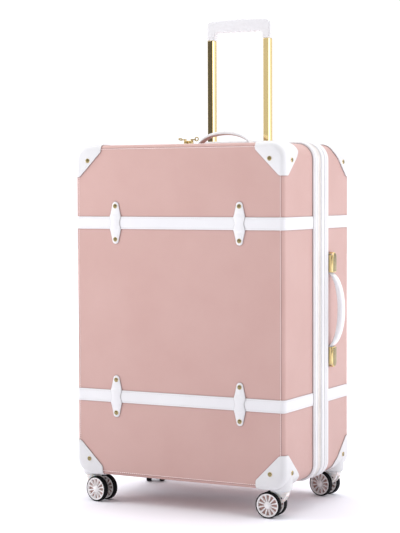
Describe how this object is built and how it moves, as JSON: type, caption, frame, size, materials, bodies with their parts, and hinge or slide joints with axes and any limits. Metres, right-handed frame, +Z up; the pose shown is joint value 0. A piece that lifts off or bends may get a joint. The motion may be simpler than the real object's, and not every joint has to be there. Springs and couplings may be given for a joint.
{
  "type": "hard shell suitcase on wheels",
  "caption": "Hard shell trunk-style suitcase with leather-look covering, straps, corner protectors, side-hung lid, spinner casters and telescopic pull handle.",
  "frame": {"origin": "centre of the whole object's footprint box, on the floor under the wheels", "axes": "+Z up the case, front lid faces -Y, side handle on +X, lid hinges on the -X side"},
  "size_m": [0.508, 0.3206, 1.0006],
  "materials": {
    "pink_leather": "satin, fine grain",
    "white_leather": "satin, smooth",
    "white_plastic": "gloss",
    "clear_plastic": "cloudy gloss",
    "gold": "polished",
    "gold_tube": "polished gold anodised",
    "tyre": "matte",
    "zip_tape": "woven",
    "lining": "woven",
    "alloy": "mill",
    "board": "matte"
  },
  "bodies": {
    "base": {"rear_shell": "pink_leather", "rear_lining": "lining", "rear_zip_tape": "zip_tape", "rear_binding": "white_leather", "rear_piping": "white_leather", "rear_band_upper": "white_leather", "rear_band_lower": "white_leather", "corner_rear_top_left": "white_leather", "corner_rear_top_right": "white_leather", "corner_rear_bottom_left": "white_leather", "corner_rear_bottom_right": "white_leather", "pull_bezel": "white_plastic", "outer_tube_left": "alloy", "outer_tube_right": "alloy", "tube_foot_bar": "alloy", "tube_cover": "board", "top_handle_plate_left": "gold", "top_handle_plate_right": "gold", "side_handle_bracket_upper": "gold", "side_handle_bracket_lower": "gold", "hinge_gusset": "lining"},
    "lid": {"front_shell": "pink_leather", "front_lining": "lining", "front_zip_tape": "zip_tape", "front_binding": "white_leather", "front_band_upper": "white_leather", "front_band_lower": "white_leather", "corner_front_top_left": "white_leather", "corner_front_top_right": "white_leather", "corner_front_bottom_left": "white_leather", "corner_front_bottom_right": "white_leather", "keeper_upper_left": "white_leather", "keeper_upper_right": "white_leather", "keeper_lower_left": "white_leather", "keeper_lower_right": "white_leather"},
    "pull_handle": {"inner_tube_left": "gold_tube", "inner_tube_right": "gold_tube", "slide_block_left": "white_plastic", "slide_block_right": "white_plastic", "pull_grip": "white_plastic"},
    "release": {"release_button": "white_plastic"},
    "top_carry": {"top_handle": "white_leather"},
    "side_carry": {"side_handle": "white_leather"},
    "slider_left": {"zip_slider_left": "gold"},
    "pull_tab_left": {"zip_pull_left": "gold"},
    "slider_right": {"zip_slider_right": "gold"},
    "pull_tab_right": {"zip_pull_right": "gold"},
    "caster_front_right": {"caster_fork_front_right": "clear_plastic"},
    "wheel_front_right_a": {"wheel_front_right_a": "tyre"},
    "wheel_front_right_b": {"wheel_front_right_b": "tyre"},
    "caster_front_left": {"caster_fork_front_left": "clear_plastic"},
    "wheel_front_left_a": {"wheel_front_left_a": "tyre"},
    "wheel_front_left_b": {"wheel_front_left_b": "tyre"},
    "caster_rear_right": {"caster_fork_rear_right": "clear_plastic"},
    "wheel_rear_right_a": {"wheel_rear_right_a": "tyre"},
    "wheel_rear_right_b": {"wheel_rear_right_b": "tyre"},
    "caster_rear_left": {"caster_fork_rear_left": "clear_plastic"},
    "wheel_rear_left_a": {"wheel_rear_left_a": "tyre"},
    "wheel_rear_left_b": {"wheel_rear_left_b": "tyre"}
  },
  "joints": [
    {"name": "lid_hinge", "type": "hinge", "parent": "base", "child": "lid", "pos_m": [-0.255, 0.00435, 0.3965], "axis": [0, 0, -1], "range_deg": [0, 155]},
    {"name": "pull_slide", "type": "slide", "parent": "base", "child": "pull_handle", "axis": [0, 0, 1], "range_m": [-0.214, 0]},
    {"name": "release_press", "type": "slide", "parent": "pull_handle", "child": "release", "axis": [0, 0, -1], "range_m": [0, 0.0035], "stiffness_N_per_m": 300},
    {"name": "top_handle_lift", "type": "slide", "parent": "base", "child": "top_carry", "axis": [0, 0, 1], "range_m": [0, 0.002]},
    {"name": "side_handle_lift", "type": "slide", "parent": "base", "child": "side_carry", "axis": [1, 0, 0], "range_m": [0, 0.0035]},
    {"name": "zip_slide_left", "type": "slide", "parent": "base", "child": "slider_left", "axis": [1, 0, 0], "range_m": [-0.125, 0]},
    {"name": "zip_pull_left_flip", "type": "hinge", "parent": "slider_left", "child": "pull_tab_left", "pos_m": [-0.0817, 0.00435, 0.7434], "axis": [0, 1, 0], "range_deg": [0, 150]},
    {"name": "zip_slide_right", "type": "slide", "parent": "base", "child": "slider_right", "axis": [1, 0, 0], "range_m": [0, 0.24]},
    {"name": "zip_pull_right_flip", "type": "hinge", "parent": "slider_right", "child": "pull_tab_right", "pos_m": [-0.0658, 0.00435, 0.7434], "axis": [0, -1, 0], "range_deg": [0, 150]},
    {"name": "swivel_front_right", "type": "hinge", "parent": "lid", "child": "caster_front_right", "pos_m": [0.1985, -0.12615, 0.054], "axis": [0, 0, 1], "continuous": true},
    {"name": "roll_front_right_a", "type": "hinge", "parent": "caster_front_right", "child": "wheel_front_right_a", "pos_m": [0.17888, -0.14092, 0.0258], "axis": [-0.0262, 0.9997, 0], "continuous": true},
    {"name": "roll_front_right_b", "type": "hinge", "parent": "caster_front_right", "child": "wheel_front_right_b", "pos_m": [0.17813, -0.11243, 0.0258], "axis": [-0.0262, 0.9997, 0], "continuous": true},
    {"name": "swivel_front_left", "type": "hinge", "parent": "lid", "child": "caster_front_left", "pos_m": [-0.2275, -0.12615, 0.054], "axis": [0, 0, 1], "continuous": true},
    {"name": "roll_front_left_a", "type": "hinge", "parent": "caster_front_left", "child": "wheel_front_left_a", "pos_m": [-0.20524, -0.11578, 0.0258], "axis": [-0.1822, -0.9833, 0], "continuous": true},
    {"name": "roll_front_left_b", "type": "hinge", "parent": "caster_front_left", "child": "wheel_front_left_b", "pos_m": [-0.21043, -0.14381, 0.0258], "axis": [-0.1822, -0.9833, 0], "continuous": true},
    {"name": "swivel_rear_right", "type": "hinge", "parent": "base", "child": "caster_rear_right", "pos_m": [0.1985, 0.12785, 0.054], "axis": [0, 0, 1], "continuous": true},
    {"name": "roll_rear_right_a", "type": "hinge", "parent": "caster_rear_right", "child": "wheel_rear_right_a", "pos_m": [0.17615, 0.11768, 0.0258], "axis": [0.1908, 0.9816, 0], "continuous": true},
    {"name": "roll_rear_right_b", "type": "hinge", "parent": "caster_rear_right", "child": "wheel_rear_right_b", "pos_m": [0.18159, 0.14565, 0.0258], "axis": [0.1908, 0.9816, 0], "continuous": true},
    {"name": "swivel_rear_left", "type": "hinge", "parent": "base", "child": "caster_rear_left", "pos_m": [-0.2275, 0.12785, 0.054], "axis": [0, 0, 1], "continuous": true},
    {"name": "roll_rear_left_a", "type": "hinge", "parent": "caster_rear_left", "child": "wheel_rear_left_a", "pos_m": [-0.20516, 0.11765, 0.0258], "axis": [-0.866, -0.5, 0], "continuous": true},
    {"name": "roll_rear_left_b", "type": "hinge", "parent": "caster_rear_left", "child": "wheel_rear_left_b", "pos_m": [-0.22984, 0.1034, 0.0258], "axis": [-0.866, -0.5, 0], "continuous": true}
  ]
}
